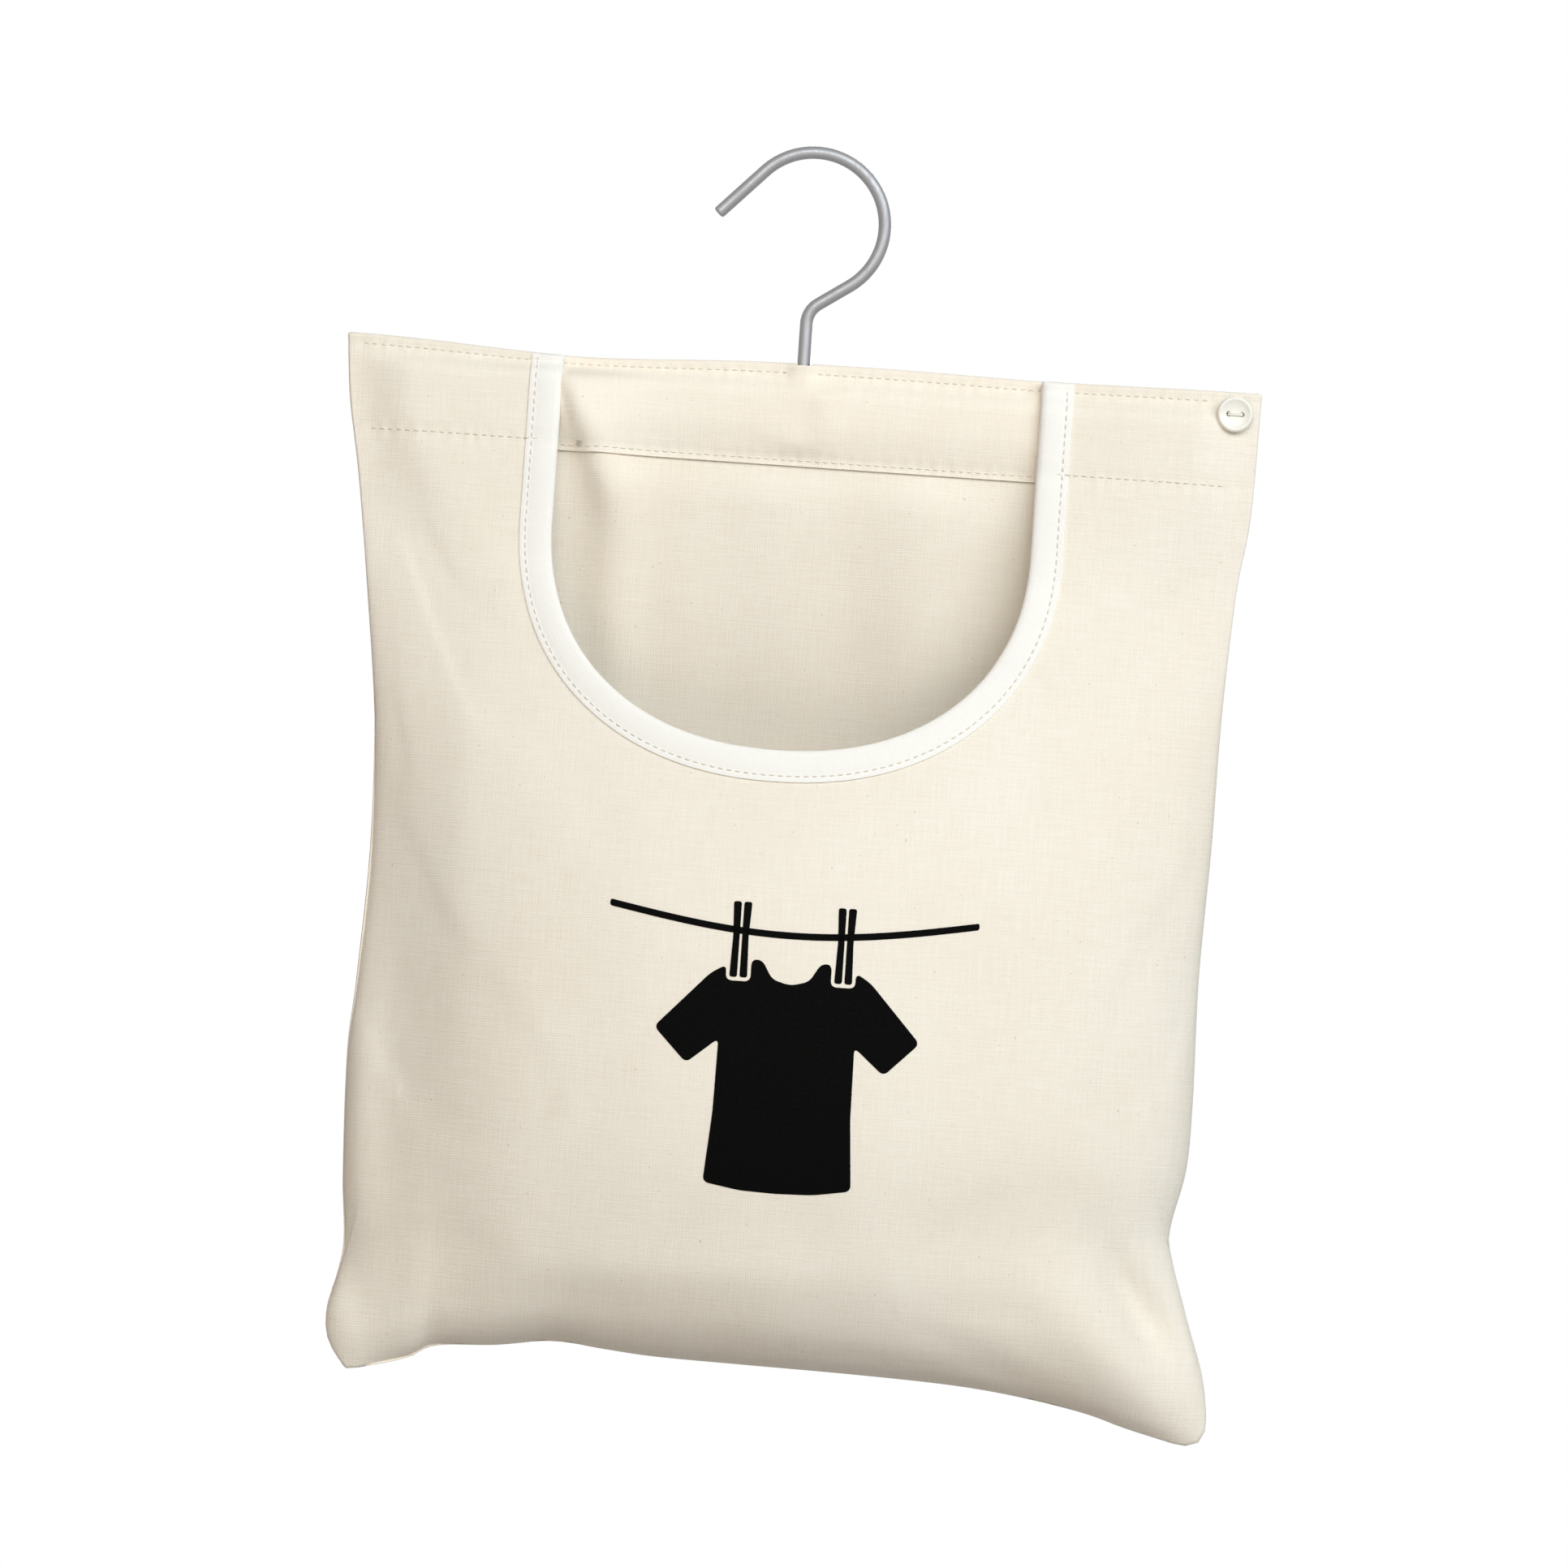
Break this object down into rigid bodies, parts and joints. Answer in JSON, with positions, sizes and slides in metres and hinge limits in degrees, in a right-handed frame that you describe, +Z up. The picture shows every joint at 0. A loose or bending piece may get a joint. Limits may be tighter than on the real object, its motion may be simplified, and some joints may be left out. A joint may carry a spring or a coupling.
{
  "type": "peg bag",
  "caption": "Canvas clothes-peg bag with a bound U-shaped mouth, stiffened by a bar in its top casing and hung on a swivelling wire hook.",
  "frame": {"origin": "the inside of the hook's top, where the line or rail that carries the bag touches the wire", "axes": "+Z up, +X to the right as the mouth is seen, -Y towards the viewer, out of the mouth"},
  "size_m": [0.3062, 0.0864, 0.4202],
  "materials": {
    "hook_steel": "bright drawn wire",
    "washer_steel": "plain",
    "bar_wood": "planed, unvarnished",
    "canvas": "natural cotton canvas, plain weave",
    "binding_tape": "off-white cotton tape",
    "thread": "matt sewing cotton",
    "button": "cream, satin",
    "print_ink": "black ink printed on the canvas"
  },
  "bodies": {
    "hook": {"hook_wire": "hook_steel"},
    "bag": {"hook_washer": "washer_steel", "hanger_bar": "bar_wood", "back_panel": "canvas", "front_panel": "canvas", "mouth_binding": "binding_tape", "corner_button": "button", "button_thread": "thread", "binding_thread": "thread", "ridge_thread_left": "thread", "ridge_thread_right": "thread", "ridge_thread_back_left": "thread", "ridge_thread_back_right": "thread", "hem_thread_left": "thread", "hem_thread_right": "thread", "casing_thread": "thread"}
  },
  "joints": [
    {"name": "hook_swivel", "type": "hinge", "parent": "hook", "child": "bag", "pos_m": [0, 0, -0.0679], "axis": [0, 0, 1], "continuous": true}
  ]
}
